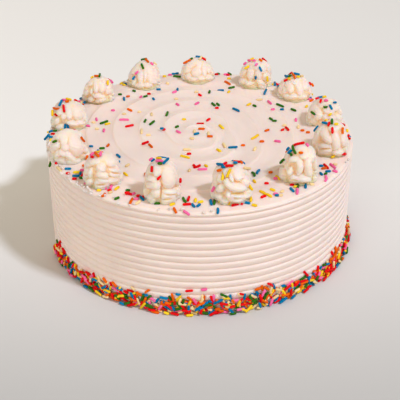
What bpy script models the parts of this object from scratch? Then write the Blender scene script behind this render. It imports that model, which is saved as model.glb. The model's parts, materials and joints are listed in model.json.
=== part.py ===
"""Birthday cake: a round frosted cake with combed sides, a spiral top, a ring of piped swirls and
sprinkles. Metres, +Z up, origin at the middle of the base, front of the cake at -Y."""
import math
import random

import bmesh
import bpy
from mathutils import Matrix, Vector
from mathutils.bvhtree import BVHTree

# Driving sizes of the cake
CAKE_RADIUS = 0.120
CAKE_HEIGHT = 0.088
BODY_STEPS = 40

# Ridges left on the side by a comb
RIDGE_PITCH = 0.0055
GROOVE_DEPTH = 0.0014
RIDGE_CREST = 0.30
TOP_GROOVE = 15
LOWEST_GROOVE = 3

# Rounded edge round the top
RIM_RADIUS = 0.0035

# Spiral left on the top by a spatula
SPIRAL_PITCH = 0.020
SPIRAL_DEPTH = 0.0011
SPIRAL_END = 0.088
SPIRAL_RINGS = 16

# Thick band of sprinkles round the base
BAND_HEIGHT = 0.0135
BAND_PROUD = 0.0020
BASE_RADIUS = 0.1190

# Piped swirls, from the front towards the right: angle in degrees, distance of the swirl's middle
# from the cake's middle, radius, height
SWIRLS = (
    (12.8, 0.1010, 0.0155, 0.0260),
    (44.7, 0.1020, 0.0148, 0.0270),
    (72.8, 0.1035, 0.0145, 0.0250),
    (100.0, 0.1015, 0.0150, 0.0207),
    (130.0, 0.1045, 0.0147, 0.0193),
    (152.6, 0.1042, 0.0150, 0.0227),
    (180.8, 0.1050, 0.0151, 0.0183),
    (207.6, 0.1044, 0.0148, 0.0204),
    (234.2, 0.1050, 0.0141, 0.0200),
    (262.3, 0.1052, 0.0155, 0.0200),
    (291.6, 0.1055, 0.0153, 0.0217),
    (317.4, 0.1035, 0.0146, 0.0222),
    (344.7, 0.1017, 0.0141, 0.0287),
)
# Outline of a swirl, top to bottom: radius and height as shares of its own, and how deep the
# creases between its lobes are there
SWIRL_OUTLINE = (
    (0.00, 1.00, 0.00),
    (0.44, 0.86, 0.24),
    (0.80, 0.65, 0.26),
    (0.85, 0.48, 0.18),
    (1.00, 0.34, 0.26),
    (0.97, 0.15, 0.28),
    (0.74, 0.00, 0.12),
    (0.00, 0.00, 0.00),
)
SWIRL_LOBES = 7
STEPS_PER_LOBE = 3
CREASE_WIDTH = 0.2
SWIRL_LEAN = (0.0005, 0.0018)
SWIRL_TWIST = math.radians(70)
SWIRL_GAP = 0.0003

# Sprinkles: short rods with rounded ends
SPRINKLE_RADIUS = 0.0009
SPRINKLE_LENGTHS = (0.0050, 0.0085)
SPRINKLE_SIDES = 5
SPRINKLE_LIFT = 0.00015
TOP_SPRINKLES = 40
TOP_REACH = 0.086
GAP_SPRINKLES = 3
GAP_NEAREST = 0.100
GAP_SPACING = 0.0055
GAP_WIDTH = 0.025
BAND_SPRINKLES = 46
BAND_ROWS = (0.36, 0.62, 0.88)
BAND_SLANT = 0.6
SWIRL_SPRINKLES = 3
PEAK_SHARE = 0.86
PEAK_TILT = 0.15
LOBE_SHARE = 0.65
JITTER = 0.2
GOLDEN_ANGLE = math.pi * (3 - math.sqrt(5))
SEED = 11


def start():
    """Empties the scene and gives it one collection, named for the cake."""
    for obj in list(bpy.data.objects):
        bpy.data.objects.remove(obj, do_unlink=True)
    cake = bpy.data.collections.new("birthday_cake")
    bpy.context.scene.collection.children.link(cake)
    return cake


def material(name, colour, roughness):
    """A plain finish in one colour."""
    made = bpy.data.materials.new(name)
    made.use_nodes = True
    shader = made.node_tree.nodes["Principled BSDF"]
    shader.inputs["Base Color"].default_value = (*colour, 1.0)
    shader.inputs["Roughness"].default_value = roughness
    shader.inputs["Metallic"].default_value = 0.0
    return made


def applied(obj):
    """Replaces the object's mesh by what its modifiers make of it."""
    graph = bpy.context.evaluated_depsgraph_get()
    mesh = bpy.data.meshes.new_from_object(obj.evaluated_get(graph))
    obj.modifiers.clear()
    obj.data = mesh
    return obj


def turned(name, profile, steps, collection):
    """A profile of (radius, height) pairs, top to bottom, turned about the Z axis."""
    mesh = bpy.data.meshes.new(name)
    edges = [(i, i + 1) for i in range(len(profile) - 1)]
    mesh.from_pydata([(radius, 0.0, height) for radius, height in profile], edges, [])
    obj = bpy.data.objects.new(name, mesh)
    collection.objects.link(obj)
    screw = obj.modifiers.new("turn", "SCREW")
    screw.axis = "Z"
    screw.steps = steps
    screw.render_steps = steps
    screw.use_merge_vertices = True
    screw.merge_threshold = 0.00002
    return applied(obj)


def around(radius, angle, height):
    """A point at an angle measured from the front (-Y) towards the right (+X)."""
    return Vector((radius * math.sin(angle), -radius * math.cos(angle), height))


def spiral_relief(radius, angle):
    """How far the top lies below its highest level. The spatula's path is a spiral with one turn a
    pitch: each band is a shallow hollow that rises to a step at its outer edge. The relief fades
    out before the swirls, which stand on a flat ring."""
    turn = (radius / SPIRAL_PITCH + angle / (2 * math.pi)) % 1.0
    fade = min(1.0, max(0.0, (SPIRAL_END - radius) / SPIRAL_PITCH))
    return SPIRAL_DEPTH * fade * (1.0 - turn) ** 1.5


def band_height(angle):
    """The uneven upper edge of the band of sprinkles."""
    return BAND_HEIGHT + 0.0013 * math.sin(3 * angle + 0.7) + 0.0009 * math.sin(7 * angle)


def cake_profile():
    """The cake's outline: flat top, rounded edge, combed side, band and base."""
    ring_gap = SPIRAL_END / SPIRAL_RINGS
    profile = [(ring_gap * i, CAKE_HEIGHT) for i in range(SPIRAL_RINGS + 1)]
    for degrees in (0, 30, 60, 90):
        turn = math.radians(degrees)
        profile.append(
            (
                CAKE_RADIUS - RIM_RADIUS * (1 - math.sin(turn)),
                CAKE_HEIGHT - RIM_RADIUS * (1 - math.cos(turn)),
            )
        )
    groove_radius = CAKE_RADIUS - GROOVE_DEPTH
    for groove in range(TOP_GROOVE, LOWEST_GROOVE - 1, -1):
        height = groove * RIDGE_PITCH
        profile.append((groove_radius, height))
        if groove > LOWEST_GROOVE:
            profile.append((CAKE_RADIUS, height - RIDGE_CREST * RIDGE_PITCH))
            profile.append((CAKE_RADIUS, height - (1 - RIDGE_CREST) * RIDGE_PITCH))
    band_radius = CAKE_RADIUS + BAND_PROUD
    profile.append((CAKE_RADIUS, BAND_HEIGHT))
    profile.append((band_radius, 0.70 * BAND_HEIGHT))
    profile.append((band_radius, 0.20 * BAND_HEIGHT))
    profile.append((BASE_RADIUS, 0.0))
    profile.append((0.0, 0.0))
    return profile


def shape_cake(obj):
    """Presses the spiral into the top and makes the band's edge uneven."""
    for vertex in obj.data.vertices:
        x, y, z = vertex.co
        angle = math.atan2(x, -y)
        if z > CAKE_HEIGHT - 1e-6:
            vertex.co.z = CAKE_HEIGHT - spiral_relief(math.hypot(x, y), angle)
        elif z < BAND_HEIGHT + 1e-6:
            vertex.co.z = z * band_height(angle) / BAND_HEIGHT


def swirl_profile(radius, height):
    """The swirl's outline at its real size."""
    return [(radius * r, height * h) for r, h, _ in SWIRL_OUTLINE]


def crease_depth(share):
    """The creases' depth at a share of the swirl's height, between the outline's points."""
    rows = sorted((h, depth) for _, h, depth in SWIRL_OUTLINE)
    for (low, first), (high, second) in zip(rows, rows[1:]):
        if share <= high and high > low:
            return first + (second - first) * (share - low) / (high - low)
    return rows[-1][1]


def shape_swirl(obj, height, lean):
    """Cuts the creases between the lobes, twists them about the swirl's own axis and leans the
    peak. Each lobe has two steps of the turned outline on its crest and one in its crease."""
    lobe = 2 * math.pi / SWIRL_LOBES
    for vertex in obj.data.vertices:
        x, y, z = vertex.co
        place_in_lobe = math.atan2(y, x) / lobe % 1.0
        share = z / height
        in_crease = min(place_in_lobe, 1.0 - place_in_lobe) < CREASE_WIDTH
        scale = 1.0 - (crease_depth(share) if in_crease else 0.0)
        turned_by = Matrix.Rotation(SWIRL_TWIST * share, 3, "Z")
        vertex.co = turned_by @ Vector((x * scale, y * scale, z)) + lean * share * share


def sprinkle(name, middle, along, length, collection):
    """A rod with rounded ends: a ball with two rings of points, widened so that the rings have the
    rod's radius, and then moved apart."""
    bm = bmesh.new()
    bmesh.ops.create_uvsphere(bm, u_segments=SPRINKLE_SIDES, v_segments=3, radius=SPRINKLE_RADIUS)
    widen = 1 / math.cos(math.pi / 6)
    half = length / 2 - SPRINKLE_RADIUS
    for vertex in bm.verts:
        vertex.co.x *= widen
        vertex.co.y *= widen
        vertex.co.z += math.copysign(half, vertex.co.z)
    turn = Vector((0, 0, 1)).rotation_difference(along).to_matrix().to_4x4()
    bmesh.ops.transform(bm, matrix=Matrix.Translation(middle) @ turn, verts=bm.verts)
    mesh = bpy.data.meshes.new(name)
    bm.to_mesh(mesh)
    bm.free()
    obj = bpy.data.objects.new(name, mesh)
    collection.objects.link(obj)


def skin_of(obj):
    """The object's surface, ready to be hit by rays."""
    mesh = obj.data
    points = [vertex.co for vertex in mesh.vertices]
    return BVHTree.FromPolygons(points, [face.vertices for face in mesh.polygons])


def lay(skin, origin, inward, heading, length, collection):
    """A sprinkle where the ray meets the surface, sunk into it by a part of its thickness and
    turned by the heading in the plane of the face that it lies on."""
    place, normal, *_ = skin.ray_cast(origin, inward)
    side = normal.cross(Vector((0, 0, 1)))
    if side.length < 0.01:
        side = Vector((1, 0, 0))
    along = Matrix.Rotation(heading, 3, normal) @ side.normalized()
    sprinkle("sprinkle", place + normal * SPRINKLE_LIFT, along, length, collection)


def lay_on_top(draw, skin, toppings):
    """Sprinkles over the disc inside the swirls, spread like seeds in a sunflower."""
    for i in range(TOP_SPRINKLES):
        radius = TOP_REACH * math.sqrt((i + 0.5) / TOP_SPRINKLES)
        angle = i * GOLDEN_ANGLE + draw.uniform(-JITTER, JITTER)
        origin = around(radius, angle, 2 * CAKE_HEIGHT)
        length = draw.uniform(*SPRINKLE_LENGTHS)
        lay(skin, origin, Vector((0, 0, -1)), draw.uniform(0, math.pi), length, toppings)


def lay_in_gaps(draw, skin, toppings):
    """Sprinkles gathered on the flat ring between each swirl and the next."""
    for (angle, *_), (following, *_) in zip(SWIRLS, SWIRLS[1:] + SWIRLS[:1]):
        middle = math.radians(angle + ((following - angle) % 360) / 2)
        for i in range(GAP_SPRINKLES):
            radius = GAP_NEAREST + GAP_SPACING * (i + draw.uniform(-JITTER, JITTER))
            origin = around(radius, middle + draw.uniform(-GAP_WIDTH, GAP_WIDTH), 2 * CAKE_HEIGHT)
            lay(skin, origin, Vector((0, 0, -1)), draw.uniform(0, math.pi), SPRINKLE_LENGTHS[0], toppings)


def lay_on_band(draw, skin, toppings):
    """Sprinkles round the base in three rows, turned little enough to stay above the table."""
    for i in range(BAND_SPRINKLES):
        angle = 2 * math.pi * (i + draw.uniform(-JITTER, JITTER)) / BAND_SPRINKLES
        height = BAND_HEIGHT * BAND_ROWS[i % len(BAND_ROWS)]
        origin = around(2 * CAKE_RADIUS, angle, height)
        heading = draw.uniform(-BAND_SLANT, BAND_SLANT)
        length = draw.uniform(*SPRINKLE_LENGTHS)
        lay(skin, origin, around(-1.0, angle, 0.0), heading, length, toppings)


def lay_on_swirl(draw, skin, place, height, turn, toppings):
    """Sprinkles on one swirl: one across its peak and the others on its upper lobes."""
    top = place + Vector((0, 0, PEAK_SHARE * height))
    across = around(1.0, draw.uniform(0, math.pi), PEAK_TILT)
    sprinkle("sprinkle", top, across, SPRINKLE_LENGTHS[1], toppings)
    for i in range(1, SWIRL_SPRINKLES):
        outward = around(1.0, turn + i * GOLDEN_ANGLE, 0.0)
        origin = place + outward * CAKE_RADIUS + Vector((0, 0, LOBE_SHARE * height))
        lay(skin, origin, -outward, draw.uniform(0, math.pi), SPRINKLE_LENGTHS[0], toppings)


def join(obj, toppings):
    """Fuses everything in the collection to the object, and removes the loose copies."""
    union = obj.modifiers.new("toppings", "BOOLEAN")
    union.operation = "UNION"
    union.solver = "EXACT"
    union.operand_type = "COLLECTION"
    union.collection = toppings
    applied(obj)
    for loose in list(toppings.objects):
        bpy.data.objects.remove(loose, do_unlink=True)
    bpy.data.collections.remove(toppings)


def new_toppings(name):
    """A collection for the rods that are fused to one piece; they are helpers, not pieces."""
    toppings = bpy.data.collections.new(name)
    bpy.context.scene.collection.children.link(toppings)
    return toppings


def finish(obj, finish_material):
    """Smooth shading with the creases left sharp, and the piece's own finish."""
    obj.data.shade_smooth()
    obj.data.set_sharp_from_angle(angle=math.radians(40))
    obj.data.materials.clear()
    obj.data.materials.append(finish_material)


def make_cake(collection, frosting):
    """The frosted cake with the sprinkles of its top, of the gaps between swirls and of its base."""
    draw = random.Random(SEED)
    cake = turned("cake", cake_profile(), BODY_STEPS, collection)
    shape_cake(cake)
    skin = skin_of(cake)
    toppings = new_toppings("cake_toppings")
    lay_on_top(draw, skin, toppings)
    lay_in_gaps(draw, skin, toppings)
    lay_on_band(draw, skin, toppings)
    join(cake, toppings)
    finish(cake, frosting)


def make_swirl(number, spec, collection, frosting):
    """One piped swirl with its sprinkles, standing on the flat ring of the top."""
    degrees, distance, radius, height = spec
    draw = random.Random(SEED + number)
    name = f"swirl_{number:02d}"
    swirl = turned(name, swirl_profile(radius, height), SWIRL_LOBES * STEPS_PER_LOBE, collection)
    lean = around(1.0, draw.uniform(0, 2 * math.pi), 0.0) * draw.uniform(*SWIRL_LEAN)
    shape_swirl(swirl, height, lean)
    place = around(distance, math.radians(degrees), CAKE_HEIGHT + SWIRL_GAP)
    turn = draw.uniform(0, 2 * math.pi)
    swirl.data.transform(Matrix.Translation(place) @ Matrix.Rotation(turn, 4, "Z"))
    toppings = new_toppings(name + "_toppings")
    lay_on_swirl(draw, skin_of(swirl), place, height, turn, toppings)
    join(swirl, toppings)
    finish(swirl, frosting)


def main():
    collection = start()
    frosting = material("frosting", (0.86, 0.70, 0.60), 0.55)
    cream = material("cream", (0.90, 0.77, 0.64), 0.50)
    make_cake(collection, frosting)
    for number, spec in enumerate(SWIRLS, start=1):
        make_swirl(number, spec, collection, cream)


main()
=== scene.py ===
"""Birthday cake: frosted body with combed sides and a spiral top, a ring of piped swirls, and
sprinkles, on a plain pale floor. Metres, +Z up, front of the cake at -Y.

Angles round the cake are measured from the front towards the right, so a point at an angle a and a
distance r is (r sin a, -r cos a)."""
import json
import math
from itertools import product

import bpy
import numpy as np
from bpy.props import FloatProperty, FloatVectorProperty, IntProperty, PointerProperty
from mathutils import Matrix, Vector
from mathutils.bvhtree import BVHTree

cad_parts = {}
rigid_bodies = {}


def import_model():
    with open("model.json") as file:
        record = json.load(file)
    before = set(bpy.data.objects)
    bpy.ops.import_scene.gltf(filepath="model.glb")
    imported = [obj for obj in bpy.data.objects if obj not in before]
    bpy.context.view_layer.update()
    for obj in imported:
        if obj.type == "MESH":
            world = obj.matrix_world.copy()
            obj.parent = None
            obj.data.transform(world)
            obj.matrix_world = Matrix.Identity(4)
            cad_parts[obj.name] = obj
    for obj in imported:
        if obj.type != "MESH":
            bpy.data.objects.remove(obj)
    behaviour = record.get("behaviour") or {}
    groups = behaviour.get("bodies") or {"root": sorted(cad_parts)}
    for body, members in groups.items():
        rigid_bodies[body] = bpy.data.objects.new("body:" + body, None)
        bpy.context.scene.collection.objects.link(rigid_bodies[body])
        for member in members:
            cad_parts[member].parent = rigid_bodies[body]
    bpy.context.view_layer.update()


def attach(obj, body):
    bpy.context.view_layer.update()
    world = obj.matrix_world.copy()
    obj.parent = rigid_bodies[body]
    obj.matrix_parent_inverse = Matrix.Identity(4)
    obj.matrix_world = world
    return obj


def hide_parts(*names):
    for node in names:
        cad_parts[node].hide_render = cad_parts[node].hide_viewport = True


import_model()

bl_info = {
    "name": "Birthday Cake",
    "version": (1, 0, 0),
    "blender": (4, 5, 0),
    "location": "View3D > Sidebar > Cake",
    "description": "Makes a frosted birthday cake with piped swirls and sprinkles",
    "category": "Add Mesh",
}

TURN = 2 * math.pi
MM = 0.001
SEED = 7

# Points round the body and out along its top, and round a swirl and down it
BODY_COLUMNS, TOP_ROWS = 276, 212
SWIRL_COLUMNS, SWIRL_ROWS = 192, 96
# Brings a sum of waves near to -1 and 1
WAVE_SIZE = 1.6
# How far the last ring of the top falls to the rim
RIM_FALL = 0.0013
# How far a swirl stands out where no lobe was read in the picture, as a share of its outline
BETWEEN_LOBES = 0.30
# A lobe's ends are blunt if it is more than this many times as long as it is wide, and its half
# width is more than this many pixels
LONG_LOBE = 1.4
WIDE_LOBE = 3.9
# Length of the shortest sprinkle that is laid as the picture shows it
SHORTEST_SEEN = 0.0036
# A thing hides a place if it is nearer to the eye by more than this
NEARER = 0.0015
# Sprinkles whose middles are closer than this lie on each other
CLOSE = 0.0019
# Width of the camera's sensor in millimetres
SENSOR = 36.0
# Height on the cake's axis at which the lights point
LIT_HEIGHT = 0.08

# The stretch of the side without sprinkles: where it ends towards the back and the front, in radians
# from the front (the left is below 0), and how much further it reaches at the top of the band
BARE_BACK, BARE_BACK_SLOPE = -1.70, 0.42
BARE_FRONT, BARE_FRONT_SLOPE = -1.26, 0.04

# Piped swirls, from the front towards the right: angle in degrees, distance of the swirl's middle
# from the cake's middle, radius, height, and how much its lower tier stands out (0 a dome on a low
# frill, 1 two full tiers)
SWIRLS = (
    (12.8, 0.1010, 0.0155, 0.0260, 0.85),
    (44.7, 0.1020, 0.0148, 0.0270, 0.70),
    (72.8, 0.1035, 0.0145, 0.0250, 0.45),
    (100.0, 0.1015, 0.0150, 0.0207, 0.35),
    (130.0, 0.1045, 0.0147, 0.0193, 0.15),
    (152.6, 0.1042, 0.0150, 0.0227, 0.40),
    (180.8, 0.1050, 0.0151, 0.0183, 0.10),
    (207.6, 0.1044, 0.0148, 0.0204, 0.15),
    (234.2, 0.1050, 0.0141, 0.0200, 0.45),
    (262.3, 0.1052, 0.0155, 0.0200, 0.40),
    (291.6, 0.1055, 0.0153, 0.0217, 0.55),
    (317.4, 0.1035, 0.0146, 0.0222, 0.60),
    (344.7, 0.1017, 0.0141, 0.0287, 0.75),
)
# Outlines of a swirl, top to bottom: radius and height as shares of its own, over the crests of
# its lobes. The dome first, then the two tiers.
DOME_OUTLINE = (
    (0.03, 1.00),
    (0.13, 0.985),
    (0.28, 0.94),
    (0.45, 0.86),
    (0.64, 0.74),
    (0.79, 0.62),
    (0.89, 0.49),
    (0.96, 0.37),
    (1.00, 0.28),
    (1.01, 0.21),
    (1.02, 0.14),
    (1.02, 0.07),
    (1.00, 0.02),
    (0.94, 0.00),
)
TIER_OUTLINE = (
    (0.03, 1.00),
    (0.18, 0.985),
    (0.38, 0.94),
    (0.60, 0.87),
    (0.78, 0.76),
    (0.88, 0.63),
    (0.93, 0.51),
    (0.94, 0.43),
    (0.95, 0.37),
    (0.98, 0.30),
    (1.00, 0.21),
    (1.00, 0.12),
    (0.93, 0.04),
    (0.80, 0.00),
)

# Colours of the sprinkles, and how many of a hundred each has
SPRINKLE_SHARES = {
    "red": 26,
    "orange": 13,
    "yellow": 12,
    "cream": 15,
    "green": 12,
    "blue": 15,
    "pink": 7,
}
# Lobes and sprinkles were read in a picture this many pixels wide, taken with this scene's
# camera. Lengths and places across and down are in its pixels, and headings in degrees from the
# right upwards.
PICTURE_WIDTH = 400
# Lobes and folds of the swirls, by the swirl's number: across, down, half length, half width,
# heading, bend as a share of the length, and how far it stands out (1 at the outline; below 0 a
# slit by that share)
SEEN_LOBES = {
    1: (
        (239.9, 174.4, 7.6, 9.6, 0, 0, 1.12), (248.8, 181.5, 5.5, 10, 0, 0, 0.97),
        (237.2, 189.6, 14, 5.2, -6, 0.22, 1.02), (231.3, 179.0, 7, 3.0, -65, 0, 0.93),
        (226.5, 184.4, 6.5, 4.6, -50, 0, 1.0), (218.5, 179.1, 4.4, 6.4, 0, 0, 1.03),
        (225.0, 173.5, 4.2, 6.5, 0, 0, 0.9), (211.8, 181.8, 3.4, 10, 0, 0, 0.88),
        (218.3, 189.4, 6.0, 5.4, 30, 0, 1.03), (238, 199.0, 14, 6.5, 0, 0, 0.84),
        (228.0, 196.3, 4.6, 5.0, 20, 0, 0.99), (239, 197.4, 10, 3.2, -4, 0, 0.98),
        (238.8, 201.6, 10, 3.0, 4, 0.05, 0.97), (248.5, 197.0, 8, 3.0, 15, 0, 0.97),
        (215.0, 197.6, 6.5, 4.0, -35, 0, 0.80), (222.5, 202.0, 8, 3.6, -10, 0, 0.84),
        (240, 195.4, 10.5, 0.9, 1, 0, -0.32), (237.5, 198.9, 3.4, 0.8, 0, 0, -0.30),
    ),
    2: (
        (292.6, 160.0, 6.6, 4.4, 0, -0.1, 1.0), (300.2, 167.5, 10.0, 4.8, -85, -0.38, 1.05),
        (309.8, 168.5, 11.5, 5.4, -84, 0.06, 1.02),
        (304.6, 155.6, 6.5, 6.0, -20, 0, 1.06), (313.4, 156.0, 5.5, 11, 0, 0, 0.95),
        (288.1, 172.8, 4.2, 5.6, 0, 0, 0.96), (283.4, 155.0, 3.8, 4.8, 0, 0, 0.9),
        (284.0, 166.0, 4.0, 8, 0, 0, 0.72), (299.0, 180.5, 13, 5, 0, 0, 0.84),
        (293.6, 178.6, 7, 3.2, -4, 0, 0.99), (306.6, 180.6, 8, 4.0, 4, 0, 0.99),
        (293.5, 181.3, 5.5, 0.8, -4, 0, -0.28),
    ),
    3: (
        (325.0, 137.0, 11.0, 5.6, -52, 0.10, 1.04), (336.6, 141.8, 11.0, 6.0, -80, -0.1, 1.07),
        (346.0, 138.0, 10.5, 4.6, -88, 0.1, 0.96),
        (316.8, 128.9, 6.4, 5.0, 20, 0, 0.95), (334.0, 128.5, 7.0, 5.5, 0, 0, 1.0),
        (311.4, 131.0, 3.0, 5.0, 0, 0, 0.85), (312.3, 140.6, 3.6, 6.0, 0, 0, 0.9),
        (324.0, 150.5, 10, 6.5, 0, 0, 0.82), (323.0, 147.0, 7.4, 3.6, -5, 0.06, 0.99),
        (325.4, 151.8, 8.0, 3.6, 8, 0.05, 0.98), (339.5, 153.5, 9.0, 3.6, 8, 0, 0.92),
        (315.6, 146.6, 4.4, 5.0, 0, 0, 0.72), (324.5, 149.6, 6.5, 0.8, 2, 0, -0.28),
    ),
    4: (
        (315.4, 112.8, 9.4, 5.6, -62, 0, 1.05), (311.6, 105.3, 5.4, 4.4, 35, 0, 0.95),
        (321.0, 104.5, 5.5, 5.0, 0, 0, 0.96), (328.8, 111.0, 7.6, 5.4, -30, 0.1, 1.05),
        (337.6, 105.8, 6.2, 7.6, 0, 0, 1.02), (340.8, 118.4, 4.6, 5.0, 0, 0, 0.95),
        (330.0, 119.0, 9.0, 5.0, -8, 0, 0.84), (312.0, 121.0, 5.0, 5.0, 0, 0, 0.78),
    ),
    5: (
        (288.8, 87.4, 7.6, 4.8, -70, 0, 1.04), (281.8, 82.0, 4.8, 4.0, 20, 0, 0.93),
        (283.4, 90.6, 3.4, 6.4, 0, 0, 0.85), (300.0, 89.0, 8.6, 4.6, -76, 0, 1.04),
        (307.5, 85.2, 5.6, 7.2, 0, 0, 1.02), (295.0, 81.5, 5.5, 4.5, 0, 0, 0.97),
        (292.5, 97.5, 7.5, 3.0, 5, 0, 0.93), (285.6, 96.5, 5.0, 3.6, -20, 0, 0.86),
        (303.2, 97.3, 7.0, 3.4, 0, 0, 0.93),
    ),
    6: (
        (241.6, 69.7, 7.0, 4.2, 55, 0, 0.95), (249.7, 73.4, 4.6, 9.8, 0, 0, 1.03),
        (255.6, 66.0, 5.0, 5.6, 0, 0, 0.98), (258.8, 75.0, 5.2, 8.0, 0, 0, 1.0),
        (268.4, 77.2, 5.0, 6.0, 0, 0, 1.02), (264.1, 69.1, 4.8, 6.4, 0, 0, 0.95),
        (262.0, 83.6, 7.5, 3.2, -28, 0, 0.98), (240.0, 81.5, 7.5, 3.8, -8, 0, 0.92),
        (248.1, 84.1, 6.5, 3.0, 0, 0, 0.90), (264.1, 87.4, 5.5, 2.6, -10, 0, 0.88),
    ),
    7: (
        (188.7, 64.1, 7.8, 5.6, 30, 0, 1.0), (185.7, 70.2, 4.8, 4.4, 0, 0, 0.95),
        (196.1, 72.7, 6.8, 6.0, 20, 0, 1.04), (199.2, 64.1, 3.4, 7.4, 0, 0, 0.98),
        (205.3, 70.2, 3.8, 9.8, 0, 0, 1.0), (211.4, 67.1, 5.2, 8.2, 0, 0, 1.0),
        (186.9, 76.9, 4.8, 3.8, -20, 0, 0.92), (193.0, 79.6, 7.5, 2.8, 0, 0, 0.88),
        (201.6, 78.8, 5.5, 2.8, 0, 0, 0.93), (210.2, 78.0, 6.0, 3.2, 0, 0, 0.92),
    ),
    8: (
        (139.8, 76.3, 4.0, 11.2, 0, 0, 1.02), (133.6, 70.4, 7.4, 3.8, 40, 0, 0.95),
        (132.4, 83.0, 3.0, 4.4, 0, 0, 0.92), (150.8, 74.5, 11.2, 5.2, -75, 0, 1.02),
        (157.2, 75.9, 4.8, 8.4, 0, 0, 0.95), (145.3, 75.0, 2.8, 9.0, 0, 0, 0.90),
        (139.8, 86.2, 7.5, 2.8, 0, 0, 0.90), (148.9, 85.8, 6.5, 2.8, 0, 0, 0.93),
        (156.3, 82.0, 5.0, 3.8, 0, 0, 0.90),
    ),
    9: (
        (87.9, 83.4, 4.6, 3.8, 30, 0, 0.97), (83.8, 93.2, 3.0, 4.4, 0, 0, 0.93),
        (90.1, 92.3, 2.2, 3.8, 0, 0, 0.88), (95.4, 87.9, 3.9, 8.4, 0, 0, 1.02),
        (102.6, 87.0, 5.4, 8.2, 0, 0, 1.0), (110.0, 89.2, 4.8, 7.4, 0, 0, 0.97),
        (98.6, 97.2, 9.5, 3.2, -8, 0, 0.97), (89.6, 100.2, 5.0, 3.2, 0, 0, 0.93),
        (101.0, 101.0, 8.5, 3.0, 12, 0, 0.93),
    ),
    10: (
        (68.7, 112.4, 9.8, 4.6, -82, 0, 1.02), (79.4, 112.4, 8.2, 10.2, 0, 0, 1.03),
        (58.4, 112.4, 5.2, 5.0, 0, 0, 0.97), (54.4, 122.2, 4.4, 5.0, 0, 0, 1.0),
        (50.0, 123.4, 2.6, 4.4, 0, 0, 0.88), (62.9, 117.2, 3.8, 4.2, 0, 0, 0.95),
        (73.6, 124.6, 9.5, 3.6, -5, 0, 0.94), (83.0, 123.4, 6.5, 3.6, 0, 0, 0.94),
        (58.4, 128.4, 6.5, 3.2, -10, 0, 0.86),
    ),
    11: (
        (77.6, 145.6, 10.5, 14.5, 8, 0, 1.05), (63.2, 140.8, 5.4, 10.0, 0, 0, 1.0),
        (64.6, 148.8, 6.4, 4.8, -20, 0, 1.0), (52.6, 146.2, 6.4, 6.6, 0, 0, 1.0),
        (56.6, 135.4, 4.4, 6.8, -20, 0, 0.9), (55.6, 155.6, 4.2, 5.2, 0, 0, 1.0),
        (61.8, 154.4, 6.4, 4.2, -15, 0, 0.98), (71.0, 158.8, 9.5, 4.6, -40, 0, 0.99),
        (76.0, 163.5, 12, 4.0, 0, 0, 0.95), (59.0, 162.0, 9.0, 5.0, -20, 0, 0.84),
    ),
    12: (
        (93.2, 161.8, 7.0, 4.6, 8, 0, 1.0), (86.4, 164.4, 4.4, 3.4, -40, 0, 0.95),
        (84.0, 170.6, 2.8, 6.4, 0, 0, 0.94), (88.0, 174.2, 2.8, 6.8, 0, 0, 0.92),
        (101.0, 169.0, 7.0, 7.0, 0, 0, 1.03), (102.2, 176.4, 8.5, 4.2, -14, -0.1, 1.05),
        (114.4, 159.8, 9.5, 9.8, -30, 0, 1.02), (117.6, 171.2, 8.0, 3.2, 0, 0.06, 1.0),
        (117.0, 175.6, 7.4, 3.2, 6, 0.1, 0.98), (102.0, 184.5, 11, 6.5, 0, 0, 0.84),
        (103.0, 182.0, 9.0, 3.8, -5, 0, 1.0), (100.6, 187.2, 8.6, 3.2, 0, 0.08, 0.99),
        (86.8, 182.6, 5.4, 4.0, -10, 0, 0.93), (115.5, 181.5, 8.5, 4.5, 15, 0, 0.84),
        (101.0, 185.6, 5.4, 0.9, 0, 0, -0.34), (117.4, 173.6, 4.0, 0.8, 4, 0, -0.25),
    ),
    13: (
        (170.2, 178.6, 10.4, 14.0, 4, 0, 1.08), (156.0, 171.6, 6.0, 9.2, 0, 0, 1.0),
        (148.8, 169.8, 3.8, 6.2, 0, 0, 0.9), (143.0, 176.0, 2.6, 6.0, -20, 0, 0.88),
        (151.2, 180.4, 8.6, 4.4, -20, -0.08, 1.0), (152.2, 186.0, 9.2, 5.6, -10, -0.1, 1.06),
        (154.6, 194.6, 7.4, 6.2, -30, 0, 1.0), (149.4, 199.4, 6.6, 4.4, -35, 0, 0.86),
        (170.0, 199.0, 11, 7.0, 0, 0, 0.84), (172.0, 193.4, 11.0, 3.6, 6, 0.08, 1.0),
        (168.4, 196.8, 9.0, 3.4, 8, 0.05, 0.99), (169.4, 201.8, 10.0, 3.6, 5, 0.04, 0.98),
        (171.5, 195.3, 6.5, 0.8, 5, 0, -0.28), (168.0, 200.4, 5.5, 0.8, 8, 0, -0.28),
        (160.7, 196.0, 1.0, 7.5, 0, 0, -0.35),
    ),
}
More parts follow.
